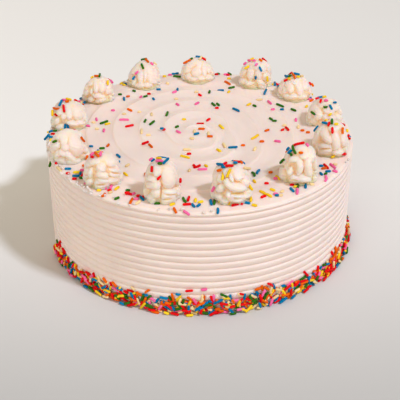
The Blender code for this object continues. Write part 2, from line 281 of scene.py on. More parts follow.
# Sprinkles on the swirls: across, down, heading and length
SEEN_ON_SWIRLS = {
    "red": (
        (225.5, 164, 30, 5), (229.5, 166.5, 0, 9), (236.5, 162.5, -5, 7), (299.5, 144, -30, 10),
        (329, 124.5, 70, 5), (332.5, 130.5, 90, 7), (343.5, 154, 0, 3), (321, 101.5, 70, 4),
        (317.5, 98.5, 0, 4.5), (152, 169.5, 90, 7), (158.5, 178, 45, 7), (179.5, 180.5, 90, 5.5),
        (92.5, 157.5, 0, 3), (64.5, 108.5, 90, 8), (56.5, 114.5, -45, 4), (116.5, 86, -45, 4),
        (203.5, 56.5, -30, 5), (286, 80.5, 25, 4.5), (309.5, 83, 0, 4),
    ),
    "orange": (
        (240.5, 162, 90, 3), (219.5, 170.5, 15, 5), (296, 145.5, 5, 7), (301, 153, 0, 5),
        (327.5, 120, 5, 7), (342.5, 131, 88, 7), (86.5, 157.5, 90, 7), (97, 155, -45, 7),
        (82, 139.5, -40, 7), (67, 102, 0, 3), (57, 108.5, 0, 5), (97, 76.5, 0, 5), (114.5, 83, 80, 4),
        (147, 61, -45, 5), (187.5, 62, 35, 9), (260.5, 60.5, -35, 4.5), (293.5, 76.5, -60, 6),
        (310.5, 85.5, -40, 3),
    ),
    "yellow": (
        (223.5, 176.5, -80, 11), (229, 173.5, 62, 10), (249, 186, -62, 11), (336, 124.5, 0, 3),
        (346.5, 131, 45, 3), (348, 151, -45, 7), (333, 156.5, 30, 4), (330, 114, 40, 4),
        (324.5, 97.5, 60, 4), (159, 159, 0, 5), (61.5, 129.5, 90, 4), (68.5, 99, -60, 7),
        (53, 113, 90, 7), (92.5, 77, 90, 3), (107.5, 83, 90, 5), (251.5, 60, 75, 7), (247, 67.5, 30, 6),
        (267, 78.5, 90, 5.5), (298, 77, 0, 2.5), (289.5, 79, 0, 4),
    ),
    "cream": (
        (246.5, 168.5, -12, 7), (352, 136.5, 0, 3), (346, 159, 0, 3), (200.5, 54.5, 45, 3),
        (301.5, 76.5, 0, 3),
    ),
    "green": (
        (235, 163.5, 0, 3), (294.5, 150, -70, 10), (292, 155, 90, 6), (283, 161.5, 45, 6),
        (332, 122, 88, 5), (325.5, 107, 0, 5), (313.5, 113.5, -35, 5), (160, 164, 0, 3),
        (99.5, 74.5, 70, 3), (142.5, 66.5, -70, 6), (191.5, 59.5, 30, 3), (290, 76.5, 30, 3),
        (55, 142, 25, 5),
    ),
    "blue": (
        (220.5, 165, 0, 7), (223.5, 167.5, 0, 4), (234.5, 164.5, 0, 3), (288.5, 147.5, 70, 4),
        (290, 152, 45, 6), (325, 123.5, 0, 5), (330.5, 107.5, -60, 6), (334.5, 103, 0, 3),
        (153.5, 161, 0, 4), (165.5, 161.5, 45, 8), (64.5, 127, 90, 7), (67.5, 127.5, 88, 8),
        (61, 103.5, 65, 7), (134, 78.5, 70, 5), (198, 57, 0, 6), (260, 69.5, -72, 6), (256, 77.5, 90, 3),
        (287, 75.5, 0, 3), (296.5, 74.5, -10, 7),
    ),
    "pink": (
        (213.5, 189, 68, 6), (307, 145.5, -45, 4), (326, 101, 0, 4), (152.5, 158.5, 0, 3),
        (159.5, 161.5, 0, 8), (183.5, 183, 0, 2), (93.5, 156, 40, 4), (101, 154.5, 85, 4),
        (64, 100.5, 0, 4), (111, 80, 0, 5), (151.5, 64, -40, 3), (136.5, 72.5, 35, 5),
        (245.5, 62.5, 35, 4), (249.5, 60.5, 0, 3), (254, 61, 0, 3), (256.5, 65, 45, 3.5),
    ),
}
# Sprinkles on the top and between the swirls, in the same way
SEEN_ON_TOP = {
    "red": (
        (240.4, 204.1, -20, 6), (130.2, 194.8, -10, 5), (127.6, 193.9, 25, 5),
        (149, 94.5, 0, 3), (200, 95.5, -30, 4), (217, 108.5, 0, 2), (129.5, 126.5, 12, 9),
        (208.5, 120.5, 35, 4.5), (164.5, 130, 0, 2), (145.5, 143.5, 15, 8), (189, 154.5, 5, 5),
        (282.5, 130.5, 30, 3), (287, 129.5, -45, 5), (266.5, 184, 0, 3), (197, 167, 20, 8),
        (194.5, 166.5, -45, 4), (236, 205, 15, 10), (292, 185.5, 0, 3), (263.5, 197.5, 20, 6),
        (326, 167, -45, 7), (188.5, 199.5, 70, 5), (187, 205, 5, 9), (144, 197.5, 0, 3),
        (138.5, 196.5, 0, 3), (109.5, 191, 0, 4), (127, 195, 0, 4), (53, 134.5, 0, 3),
        (57.5, 163.5, 30, 6), (68, 174, 0, 4), (74.5, 179.5, 0, 5), (76.5, 101.5, 0, 3),
        (129, 81.5, 0, 3), (216.5, 75, 0, 4), (228, 75.5, 0, 3), (277, 85, -30, 4), (76, 127.5, -45, 4),
        (73.5, 131, 30, 5),
    ),
    "orange": (
        (131.2, 201.8, 60, 6),
        (128, 97, 10, 3.5), (227.5, 83.5, -30, 7), (129.5, 110.5, -25, 6), (201.5, 129.5, 0, 7),
        (210, 137, 0, 6), (150.5, 146.5, -45, 5), (108, 146, 50, 3.5), (302.5, 131, 0, 3),
        (308, 133, 0, 2), (267, 131, 20, 5), (261.5, 142, 8, 5), (243, 146, 0, 3), (270.5, 173, 10, 3),
        (324, 169, 10, 6), (175, 211, -68, 7), (103.5, 195.5, 45, 6), (185, 77, -25, 5),
        (311.5, 101, 30, 4),
    ),
    "yellow": (
        (200.6, 202.6, 15, 6), (228.0, 204.4, 0, 3.5), (221.0, 202.8, 0, 3.5),
        (229, 92.5, 0, 2), (107.5, 124.5, 15, 6), (184, 120, 0, 2), (221.5, 127.5, -40, 8),
        (185, 157.5, -15, 10), (219, 151, -30, 5), (249, 105, 25, 5), (255, 137.5, 30, 9),
        (254, 181.5, -40, 3), (278, 178.5, -40, 6), (206, 166.5, -30, 4), (125.5, 175, -40, 5),
        (221, 202.5, 0, 3), (228, 204, 0, 3), (250.5, 200, 88, 5), (254.5, 206, -15, 6),
        (295.5, 187.5, 0, 3), (262.5, 193.5, -30, 8), (269, 196, -30, 7), (272.5, 190.5, -20, 6),
        (173.5, 200.5, 25, 6), (172.5, 205, 20, 6), (195.5, 201, 85, 4), (117, 189, 35, 6),
        (99, 191, 0, 3), (50, 140.5, 25, 5), (49, 130, 0, 3), (60.5, 156, 88, 8), (77, 173, 0, 8),
        (121.5, 84, 30, 3), (124, 85.5, -20, 3), (164.5, 77, 0, 4), (229, 79, 0, 4), (271.5, 85, 0, 4),
        (306.5, 107, 45, 2.5), (311, 94.5, 0, 4),
    ),
    "cream": (
        (137.9, 203.3, 30, 7), (173.4, 200.3, 5, 5.5), (110.4, 193.0, 20, 4),
        (167.5, 84, -30, 3), (176.5, 99.5, 0, 4), (196.5, 92.5, 0, 4), (124, 114.5, 0, 2),
        (139.5, 112.5, 0, 2), (151.5, 115, 90, 3), (93.5, 123, 0, 2), (141.5, 132, 88, 6),
        (148.5, 135.5, 0, 5), (194.5, 132, 90, 3.5), (208.5, 134.5, 90, 4), (192, 139, -10, 5),
        (97, 129.5, 0, 2), (187, 150, 0, 8), (224.5, 146, -60, 5), (298.5, 127.5, 90, 3),
        (284.5, 126, 0, 3), (255, 149.5, 65, 4), (189.5, 171, 85, 6), (127.5, 166, 30, 5),
        (312, 185, 0, 3), (282, 192, 30, 4), (280.5, 196, 0, 4), (335, 165, 0, 4), (58.5, 168.5, -45, 6),
        (259, 100.5, -5, 7),
    ),
    "green": (
        (120, 95, 0, 3), (134, 91.5, -20, 3), (145.5, 97, 12, 5), (209.5, 92.5, 75, 3),
        (213.5, 105, -40, 5), (218, 105, -40, 4), (231.5, 88, 12, 7), (167, 114.5, 70, 5),
        (104, 123, 20, 11), (145, 121.5, 75, 7), (152, 123.5, 38, 7), (177, 127.5, 25, 4),
        (102, 149, 5, 6), (254.5, 106.5, -25, 4), (280, 106, -22, 9), (293.5, 110.5, -22, 6),
        (271, 119.5, -35, 4), (274.5, 121.5, 0, 5), (253, 175, -60, 5), (214, 203, 88, 5),
        (297.5, 186.5, 90, 5), (325.5, 174.5, 30, 3), (157, 204, 0, 7), (184.5, 200.5, -60, 6),
        (128, 191, 0, 3), (117, 199, 25, 6), (55, 131.5, 0, 3), (51, 164, 35, 7), (81.5, 178.5, 0, 3),
        (218, 74.5, 0, 3), (229.5, 74.5, -30, 4), (177, 77, -5, 8),
    ),
    "blue": (
        (64.2, 158.6, 70, 3.5),
        (124, 99.5, 90, 7), (158.5, 90, 0, 5), (153.5, 99.5, -45, 3), (236, 110.5, -25, 8),
        (162.5, 130.5, 0, 4), (196.5, 134.5, 15, 6), (91, 147, 0, 3), (118.5, 156.5, -40, 5),
        (233, 148, -8, 10), (258.5, 172.5, 55, 5), (282, 110, 0, 2), (265.5, 92.5, 60, 5),
        (211, 203, 100, 6), (247, 203.5, -12, 7), (217.5, 211.5, 88, 7), (295, 183.5, 5, 6),
        (292, 190.5, -45, 6), (305.5, 186.5, 90, 5), (313, 181.5, 0, 3), (277, 196, 0, 3),
        (321, 166.5, 0, 4), (328, 172, 5, 6), (321, 174.5, -45, 4), (193.5, 206, -50, 5),
        (198.5, 206, 35, 5), (142, 199, -45, 6), (47.5, 137.5, 0, 9), (51, 132, 30, 5), (64, 160, 0, 4),
        (68, 169.5, 0, 7), (76, 176.5, 0, 8), (81, 174, 90, 3), (81.5, 99, 0, 3), (84.5, 103.5, 88, 7),
        (125, 84.5, 0, 4), (173.5, 74, 0, 4), (177, 73.5, 30, 4), (274.5, 84.5, 90, 5),
        (278.5, 87, 90, 2), (310.5, 98.5, -40, 3),
    ),
    "pink": (
        (106.5, 187.8, 70, 5), (111.4, 187.1, 65, 5), (133.5, 194.4, 25, 4), (86.5, 183.9, 10, 4.5),
        (174.5, 92.5, 20, 5), (141, 97.5, 40, 2.5), (177.5, 105, -35, 4), (197, 104, 30, 5),
        (113, 111, 0, 2), (96.5, 120, -75, 3), (124, 120.5, 0, 10), (178.5, 132.5, -25, 5),
        (104, 131, 80, 3), (88, 126.5, 0, 3.5), (269.5, 103, -42, 5), (273, 110, 0, 2),
        (296, 120.5, 90, 3), (277.5, 142, -8, 7), (275.5, 179, 0, 3), (202.5, 170, 3, 10),
        (297, 192, 88, 6), (275.5, 194.5, 0, 4), (333, 167, -40, 9), (335, 172, -30, 6),
        (325, 179, 88, 6), (186.5, 213, -35, 8), (136.5, 199.5, 0, 3), (107.5, 187.5, 40, 4),
        (108, 185.5, -40, 4), (86.5, 183.5, -25, 5), (80, 102, 0, 3), (170, 75.5, 0, 3),
        (226, 75, 0, 5), (310, 100, 0, 3),
    ),
}


def size_setting(name, about, default):
    """A length in metres."""
    return FloatProperty(name=name, description=about, default=default, unit="LENGTH")


def angle_setting(name, about, default):
    """An angle in radians."""
    return FloatProperty(name=name, description=about, default=default, subtype="ANGLE")


def plain_setting(name, about, default):
    """A number without a unit, or with the unit that its description gives."""
    return FloatProperty(name=name, description=about, default=default)


def colour_setting(name, about, default):
    """A colour in linear light."""
    return FloatVectorProperty(name=name, description=about, default=default, subtype="COLOR")


class FrostingSettings(bpy.types.PropertyGroup):
    """Sizes and colours of the frosted body."""

    radius: size_setting("Radius", "Radius at the ridges' crests", 0.120)
    height: size_setting("Height", "Height of the flat top", 0.088)
    rim: size_setting("Rim", "Radius of the rounded edge", 0.0035)
    ridge: size_setting("Ridge pitch", "From groove to groove", 0.0055)
    groove: size_setting("Groove depth", "Depth of the comb's grooves", 0.0011)
    band: size_setting("Band", "Height of the sprinkles at the base", 0.0140)
    spiral: size_setting("Spiral pitch", "Width of the spatula's band", 0.0209)
    relief: size_setting("Relief", "Height of the spiral's steps", 0.0023)
    colour: colour_setting("Frosting", "Colour of the smooth frosting", (0.905, 0.737, 0.655))
    # Painted shade: a warm darker colour put where grooves, the spiral's step edges, the rim's seam and air
    # pits lie in shade
    crease_shade_colour: colour_setting("Creases", "Colour in grooves and steps", (0.80, 0.58, 0.42))


class SwirlSettings(bpy.types.PropertyGroup):
    """Form and colours of the piped swirls."""

    lobes: IntProperty(name="Lobes", description="Lobes round a swirl", default=6, min=4, max=12)
    twist: angle_setting("Twist", "Turn from foot to peak", 0.85)
    depth: plain_setting("Crease depth", "Share of the radius between lobes", 0.43)
    lumps: plain_setting("Lumps", "Height of the lumps, as a share of the radius", 0.026)
    sink: size_setting("Sink", "How far the foot is pressed in", 0.0019)
    colour: colour_setting("Cream", "Colour of the piped cream", (0.863, 0.722, 0.628))
    # Painted shade: a warm darker colour put deep between the lobes, in the slits and at the foot, where
    # shade falls
    crease_shade_colour: colour_setting("Creases", "Colour deep between the lobes", (0.94, 0.69, 0.33))


class SprinkleSettings(bpy.types.PropertyGroup):
    """Sizes and colours of the sprinkles."""

    thickness: size_setting("Thickness", "Across a sprinkle", 0.00200)
    shortest: size_setting("Shortest", "Shortest sprinkle", 0.0038)
    longest: size_setting("Longest", "Longest sprinkle", 0.0086)
    red: colour_setting("Red", "Red sprinkles", (0.79, 0.004, 0.007))
    orange: colour_setting("Orange", "Orange sprinkles", (0.79, 0.120, 0.002))
    yellow: colour_setting("Yellow", "Yellow sprinkles", (0.98, 0.61, 0.020))
    cream: colour_setting("Cream", "Cream sprinkles", (0.93, 0.67, 0.33))
    green: colour_setting("Green", "Green sprinkles", (0.034, 0.155, 0.010))
    blue: colour_setting("Blue", "Blue sprinkles", (0.0, 0.182, 0.375))
    pink: colour_setting("Pink", "Pink sprinkles", (0.98, 0.15, 0.37))


class StudioSettings(bpy.types.PropertyGroup):
    """Camera, lights and floor."""

    distance: size_setting("Distance", "Camera to target", 0.8215)
    elevation: angle_setting("Elevation", "Camera above level", 0.5410)
    target: size_setting("Target", "Height looked at", 0.02516)
    lens: plain_setting("Lens", "Focal length in millimetres on a 36 mm sensor", 90.0)
    key: plain_setting("Key", "Power of the key light in watts", 88.0)
    key_height: angle_setting("Key height", "Key above level", 0.92)
    key_turn: angle_setting("Key turn", "Key from the right to the front", 0.60)
    key_size: size_setting("Key size", "Side of the key light", 0.40)
    fill: plain_setting("Fill", "Power of the fill light in watts", 16.0)
    world: plain_setting("World", "Strength of the light all round", 0.49)
    floor: colour_setting("Floor", "Floor colour", (0.835, 0.807, 0.770))


def polar(radius, angle, height):
    """Points at a distance and an angle from the middle, as one array."""
    return np.stack(np.broadcast_arrays(radius * np.sin(angle), -radius * np.cos(angle), height), -1)


def ramp(value, start, end):
    """0 up to the start and 1 from the end on, and straight between. The end may be the lower one."""
    return np.clip((value - start) / (end - start), 0.0, 1.0)


def hump(value, middle, width):
    """1 at the middle, falling off to either side as a bell: exp(-u^2), with u the distance from the
    middle as a share of the width."""
    return np.exp(-(((value - middle) / width) ** 2))


def waves(draw, terms, *axes):
    """A smooth uneven value between about -1 and 1: a sum of sines, each with whole numbers of
    waves along each axis (so it closes round the cake), a random start and a size that falls as
    its waves get shorter. Each term gives the most waves along each axis."""
    total = 0.0
    weight = 0.0
    for most in terms:
        counts = [int(draw.integers(1, limit + 1)) for limit in most]
        size = 1.0 / math.sqrt(sum(counts))
        phase = draw.uniform(0, TURN)
        total = total + size * np.sin(sum(count * axis for count, axis in zip(counts, axes)) + phase)
        weight += size
    return total / weight * WAVE_SIZE


def round_waves(draw, most, terms, angle):
    """Waves round the cake alone, with at most that many to a turn."""
    return waves(draw, [(most, 1)] * terms, angle, 0 * angle)


def mesh_piece(name, points, quads, triangles, finish, marks=None):
    """A smooth mesh object at the origin from arrays of points and faces, with named values for
    each point."""
    mesh = bpy.data.meshes.new(name)
    corners = np.concatenate([quads.ravel(), triangles.ravel()]).astype(np.int32)
    sizes = np.concatenate([np.full(len(quads), 4), np.full(len(triangles), 3)])
    starts = np.concatenate([[0], np.cumsum(sizes)[:-1]]).astype(np.int32)
    mesh.vertices.add(len(points))
    mesh.vertices.foreach_set("co", points.astype(np.float32).ravel())
    mesh.loops.add(len(corners))
    mesh.loops.foreach_set("vertex_index", corners)
    mesh.polygons.add(len(sizes))
    mesh.polygons.foreach_set("loop_start", starts)
    mesh.update(calc_edges=True)
    mesh.validate()
    mesh.shade_smooth()
    for label, values in (marks or {}).items():
        layer = mesh.attributes.new(label, "FLOAT", "POINT")
        layer.data.foreach_set("value", values.astype(np.float32).ravel())
    mesh.materials.append(finish)
    obj = bpy.data.objects.new(name, mesh)
    bpy.context.scene.collection.objects.link(obj)
    return obj


def skin_faces(rows, columns):
    """Faces of a closed skin: a top point, rows of points round an axis from the top down, and a
    bottom point."""
    here = np.arange(columns)
    after = (here + 1) % columns
    start = 1 + np.arange(rows - 1)[:, None] * columns
    quads = np.stack([start + here, start + columns + here, start + columns + after, start + after], -1)
    low = 1 + (rows - 1) * columns
    top = np.stack([np.zeros_like(here), 1 + here, 1 + after], -1)
    bottom = np.stack([np.full_like(here, low + columns), low + after, low + here], -1)
    return quads.reshape(-1, 4), np.concatenate([top, bottom])


def skin_points(grid):
    """The points of a closed skin: its rows, with the middle of the first and last as its ends."""
    ends = grid[0].mean(0), grid[-1].mean(0)
    return np.concatenate([ends[0][None], grid.reshape(-1, 3), ends[1][None]])


def skin_marks(values):
    """A value for each point of a closed skin, with the end points' own."""
    return np.concatenate([[values[0].mean()], values.ravel(), [values[-1].mean()]])


class Nodes:
    """A node tree under construction."""

    def __init__(self, tree):
        self.tree = tree

    def fill(self, socket, value):
        """Gives an input a fixed value or another node's output."""
        if isinstance(value, bpy.types.NodeSocket):
            self.tree.links.new(value, socket)
        else:
            socket.default_value = value

    def node(self, kind, inputs=None, **choices):
        """A node with its choices made and its inputs filled."""
        made = self.tree.nodes.new(kind)
        for name, value in choices.items():
            setattr(made, name, value)
        for name, value in (inputs or {}).items():
            self.fill(made.inputs[name], value)
        return made

    def ranged(self, value, low, high, new_low=0.0, new_high=1.0, **choices):
        """The value's range from low to high stretched to a new range, and clamped."""
        labels = "Value", "From Min", "From Max", "To Min", "To Max"
        inputs = dict(zip(labels, (value, low, high, new_low, new_high)))
        return self.node("ShaderNodeMapRange", inputs, **choices).outputs["Result"]

    def worked(self, operation, first, second):
        """The result of an operation on two values."""
        return self.node("ShaderNodeMath", {0: first, 1: second}, operation=operation).outputs["Value"]


def new_group(name, inputs, outputs):
    """An empty shader node group: its nodes under construction, what comes in and what goes out."""
    group = bpy.data.node_groups.new(name, "ShaderNodeTree")
    for label, default in inputs.items():
        socket = group.interface.new_socket(label, in_out="INPUT", socket_type="NodeSocketFloat")
        socket.default_value = default
    for label in outputs:
        group.interface.new_socket(label, in_out="OUTPUT", socket_type="NodeSocketFloat")
    nodes = Nodes(group)
    return nodes, nodes.node("NodeGroupInput").outputs, nodes.node("NodeGroupOutput").inputs


def mottle_group():
    """Soft uneven patches, as in hand-spread cream, and a finer grain."""
    name = "Cream mottle"
    if name not in bpy.data.node_groups:
        knobs = {"Scale": 40.0, "Grain scale": 900.0}
        nodes, source, result = new_group(name, knobs, ["Patches", "Grain"])
        place = nodes.node("ShaderNodeTexCoord").outputs["Object"]
        for label, knob, detail in (("Patches", "Scale", 3.0), ("Grain", "Grain scale", 2.0)):
            inputs = {"Vector": place, "Scale": source[knob], "Detail": detail}
            nodes.fill(result[label], nodes.node("ShaderNodeTexNoise", inputs).outputs["Fac"])
    return bpy.data.node_groups[name]


def pits_group():
    """Small scattered pits left by air bubbles: 1 in a pit and 0 between them."""
    name = "Air pits"
    if name not in bpy.data.node_groups:
        knobs = {"Scale": 140.0, "Size": 0.10, "Share": 0.25}
        nodes, source, result = new_group(name, knobs, ["Pits"])
        place = nodes.node("ShaderNodeTexCoord").outputs["Object"]
        cells = nodes.node("ShaderNodeTexVoronoi", {"Vector": place, "Scale": source["Scale"]}).outputs
        smooth = {"interpolation_type": "SMOOTHSTEP"}
        near = nodes.ranged(cells["Distance"], 0.0, source["Size"], 1.0, 0.0, **smooth)
        own = nodes.node("ShaderNodeSeparateColor", {"Color": cells["Color"]}).outputs["Red"]
        chosen = nodes.worked("LESS_THAN", own, source["Share"])
        nodes.fill(result["Pits"], nodes.worked("MULTIPLY", near, chosen))
    return bpy.data.node_groups[name]


class Finish(Nodes):
    """A material under construction: its Principled shader and short calls for its nodes."""

    def __init__(self, name, colour, roughness):
        self.material = bpy.data.materials.new(name)
        self.material.use_nodes = True
        super().__init__(self.material.node_tree)
        self.shader = self.tree.nodes["Principled BSDF"]
        self.into({"Base Color": (*colour, 1.0), "Roughness": roughness})

    def into(self, inputs):
        for name, value in inputs.items():
            self.fill(self.shader.inputs[name], value)

    def group(self, tree, inputs):
        return self.node("ShaderNodeGroup", inputs, node_tree=tree).outputs

    def mark(self, name):
        """A value kept at each point of the mesh."""
        return self.node("ShaderNodeAttribute", attribute_name=name).outputs["Fac"]

    def mixed(self, factor, first, second):
        """The first colour where the factor is 0, the second where it is 1."""
        inputs = {"Factor": factor}
        for place, value in ((6, first), (7, second)):
            inputs[place] = value if isinstance(value, bpy.types.NodeSocket) else (*value, 1.0)
        return self.node("ShaderNodeMix", inputs, data_type="RGBA").outputs[2]

    def bump(self, height, strength, distance, under=None):
        """A bump of the given height in metres, on top of another one."""
        inputs = {"Height": height, "Strength": strength, "Distance": distance}
        if under:
            inputs["Normal"] = under
        return self.node("ShaderNodeBump", inputs).outputs["Normal"]


def tint(colour, factor):
    return tuple(min(1.0, channel * factor) for channel in colour)


def cream_finish(name, settings, grain, pits, glow, reach, shine):
    """Buttercream: patches a little lighter and darker, painted warm shade where it has creases, a
    fine grain, a few air pits, bumped and painted with the same shade, and a soft sheen."""
    colour, crease_shade_colour = settings.colour, settings.crease_shade_colour
    finish = Finish(name, colour, 0.5)
    mottle = finish.group(mottle_group(), {"Scale": 38.0, "Grain scale": grain})
    holes = finish.group(pits_group(), {"Scale": pits, "Size": 0.05, "Share": 0.30})["Pits"]
    patches = finish.ranged(mottle["Patches"], 0.35, 0.65)
    base = finish.mixed(patches, tint(colour, 0.975), tint(colour, 1.02))
    # Painted shade: the crease mark mixes in the warm darker crease colour where grooves, steps, seams and
    # folds lie in shade
    crease_shaded = finish.mixed(finish.mark("crease"), base, crease_shade_colour)
    red_stain = (colour[0], colour[1] * 0.62, colour[2] * 0.62)
    stained = finish.mixed(finish.mark("stain"), crease_shaded, red_stain)
    fine = finish.bump(mottle["Grain"], 0.25, 0.00025)
    pitted = finish.ranged(holes, 0.0, 1.0, 1.0, 0.0)
    finish.into({
        # Painted shade: the air pits take the same warm crease colour
        "Base Color": finish.mixed(holes, stained, crease_shade_colour),
        "Roughness": finish.ranged(mottle["Patches"], 0.3, 0.7, 0.42, 0.58),
        "Normal": finish.bump(pitted, 0.6, 0.0004, fine),
        "Subsurface Weight": glow,
        "Subsurface Radius": (1.0, 0.65, 0.38),
        "Subsurface Scale": reach,
        "Specular IOR Level": shine,
    })
    return finish.material


def sprinkle_finish(name, colour):
    """Pressed sugar with a thin shine: each sprinkle has its own shade."""
    finish = Finish(name, colour, 0.45)
    mottle = finish.group(mottle_group(), {"Scale": 300.0, "Grain scale": 2500.0})
    own = finish.mixed(finish.mark("shade"), tint(colour, 0.86), tint(colour, 1.14))
    spotted = finish.ranged(mottle["Patches"], 0.35, 0.65, 0.0, 0.22)
    finish.into({
        "Base Color": finish.mixed(spotted, own, tint(colour, 0.85)),
        "Roughness": finish.ranged(mottle["Patches"], 0.3, 0.7, 0.30, 0.46),
        "Normal": finish.bump(mottle["Grain"], 0.2, 0.00006),
        "Specular IOR Level": 0.06,
    })
    return finish.material


def bare(angle, share):
    """Whether the side is bare of sprinkles at that share of the band's height. The picture shows
    the band stop at the left. Out of sight it comes up again on a slope."""
    turn = (angle + math.pi) % TURN - math.pi
    return BARE_BACK - BARE_BACK_SLOPE * share < turn < BARE_FRONT + BARE_FRONT_SLOPE * share


def band_top(settings, angle):
    """The uneven upper edge of the band of sprinkles."""
    wave = 2.2 * np.sin(3 * angle + 0.7) + 1.6 * np.sin(7 * angle) + np.sin(17 * angle + 2)
    return settings.band + wave * MM


def spiral_place(settings, radius, angle):
    """Where a point lies in the spatula's spiral: its fraction is 0 just outside a step and rises to
    1 at the next step outwards. The step's path is r = 43.8 mm + pitch (k - a / turn) plus a wander,
    because the hand that drew it was a few millimetres off the middle and pressed an oval. On the
    right the inner part of the path is pressed in further."""
    start = 43.8 * MM
    grown = ramp(radius, 0.0, 0.022)
    wander = -3.4 * np.sin(angle) + 4.6 * np.cos(2 * angle) + 1.6 * np.sin(2 * angle)
    wander = wander * (1.25 - 0.25 * ramp(radius, 0.0, 0.050))
    pressed = -5.5 * np.clip(np.sin(angle), 0.0, 1.0) ** 2 * ramp(radius, 0.066, 0.050)
    return (radius - start - (wander + pressed) * grown * MM) / settings.spiral + angle / TURN


def top_relief(settings, draw, radius, angle):
    """How far the top lies below its highest level, and how much of a step's edge a point has. Going
    outwards, each band starts with a short sharp drop from the lip of the one before, sinks on
    softly and then rises to its own lip. The relief fades out at the ring that carries the swirls
    and towards the middle."""
    step = 0.05
    edge_width = 0.03
    along = spiral_place(settings, radius, angle)
    turn = along % 1.0
    rise = ramp(turn, step, 1.0)
    drop = ramp(turn, 0.0, step)
    sharp = 0.33 + 0.12 * waves(draw, [(3, 2)] * 4, angle, TURN * along)
    soft = rise * (1 - rise) * (1.0 + 1.5 * (1 - rise))
    level = sharp * np.where(turn < step, drop * drop * (3 - 2 * drop), 1 - rise) + soft
    fade = ramp(radius, 0.102, 0.093) * ramp(radius, 0.008, 0.020)
    edge = hump(np.minimum(turn, 1 - turn), 0.0, edge_width) * fade * np.clip(sharp * 2, 0, 1)
    return settings.relief * fade * level, edge


def middle_curl(radius, angle):
    """The hook of frosting where the spatula was lifted: a low crescent beside the middle, highest
    near its start."""
    start = math.radians(115)
    height, width = 0.0022, 0.0016
    along = ((angle - start) % TURN) / TURN
    across = hump(radius, 0.0080 + 0.014 * along, width)
    return height * across * ramp(along, 0.0, 0.12) * ramp(along, 1 / 2.6, 0.0) ** 0.7


def ridge_shape(place):
    """A combed ridge's share of its full height. A ridge lies between two whole numbers: its round
    shoulder is near its top, and below that it slopes back to the groove."""
    share = place % 1.0
    crest = 0.68
    above = ramp(share, crest, 1.0) ** 2.4
    below = ramp(share, crest, 0.0) ** 2.6
    return 1.0 - np.where(share > crest, above, below)


def frosting_top(settings, draw, angle):
    """Rows of the top from its middle to where the rim begins: radius, height, crease (painted shade at
    the spiral's step edges) and stain. It carries the spiral and the curl, swells a little, and its
    last ring falls to the rim."""
    end = settings.radius - settings.rim
    radius = np.linspace(0.0006, end, TOP_ROWS)[:, None] + 0 * angle
    relief, edge = top_relief(settings, draw, radius, angle)
    fall = RIM_FALL * ramp(radius, 0.092, end) ** 1.5
    swell = 0.00012 * waves(draw, [(7, 3)] * 6, angle, radius * 60) * ramp(radius, 0.115, 0.105)
    height = settings.height - relief - fall + swell + middle_curl(radius, angle)
    # The crease value is painted shade along the step edges
    return radius, height, 0.35 * edge, 0 * edge


def frosting_rim(settings, draw, angle, uneven):
    """Rows of the rounded rim, a quarter turn from the top to the side: radius, height, crease and
    stain. A thin broken seam runs along it at the front, with painted shade in it as crease."""
    rows = 8
    turn = np.linspace(0, math.pi / 2, rows + 1)[1:, None]
    down = np.linspace(0, 1, rows)[:, None]
    seam = hump(turn, 1.0, 0.12) * np.clip(1.6 * np.cos(angle - 0.50) - 1.1, 0, 1)
    seam = seam * np.clip(0.6 + 0.7 * round_waves(draw, 60, 8, angle), 0, 1)
    radius = settings.radius - settings.rim * (1 - np.sin(turn))
    radius = radius + uneven * (0.2 + 0.8 * down) - 0.0011 * seam
    height = settings.height - settings.rim * (1 - np.cos(turn)) - RIM_FALL * (1 - down)
    height = height + uneven * (1 - 0.8 * down) - 0.0006 * seam
    # The crease value is painted shade in the seam
    return radius, height, 0.9 * seam, 0 * seam


def frosting_side(settings, draw, angle, uneven):
    """Rows of the combed side from the rim down to the lowest groove: radius, height, crease (painted
    shade in the grooves) and stain. The ridges waver and differ in depth, with small dents, and the
    sprinkles' colours have run a little above the band."""
    within = np.array([0.0, 0.06, 0.14, 0.24, 0.38, 0.58, 0.80, 0.94])
    start = (settings.height - settings.rim) / settings.ridge
    grooves = np.arange(math.floor(start), 0, -1)[:, None] - within
    places = np.concatenate([np.linspace(start, math.floor(start), 4, endpoint=False)[1:], grooves.ravel()])
    height = places[:, None] * settings.ridge + 0 * angle
    bend = 0.00022 * waves(draw, [(9, 3)] * 6, angle, height * 40)
    depth = settings.groove * (1.0 + 0.22 * waves(draw, [(14, 5)] * 8, angle, height * 300))
    shape = ridge_shape((height + bend) / settings.ridge)
    dents = 0.00012 * waves(draw, [(40, 20)] * 10, angle, height * 500)
    radius = settings.radius - depth * (1.0 - shape) + dents + 0.5 * uneven
    stain = hump(height, band_top(settings, angle) + 0.0012, 0.0016)
    stain = stain * np.clip(1.5 * round_waves(draw, 30, 10, angle) - 0.35, 0, 1)
    # The crease value is painted shade in the grooves; the stain is the sprinkles' colour that ran
    return radius, height, 0.3 * ramp(shape, 0.25, 0.0), stain


def skin_piece(name, grid, finish, **marks):
    """A closed skin as an object, from its rows of points and named values for them."""
    quads, triangles = skin_faces(*grid.shape[:2])
    marks = {label: skin_marks(values) for label, values in marks.items()}
    return mesh_piece(name, skin_points(grid), quads, triangles, finish, marks)


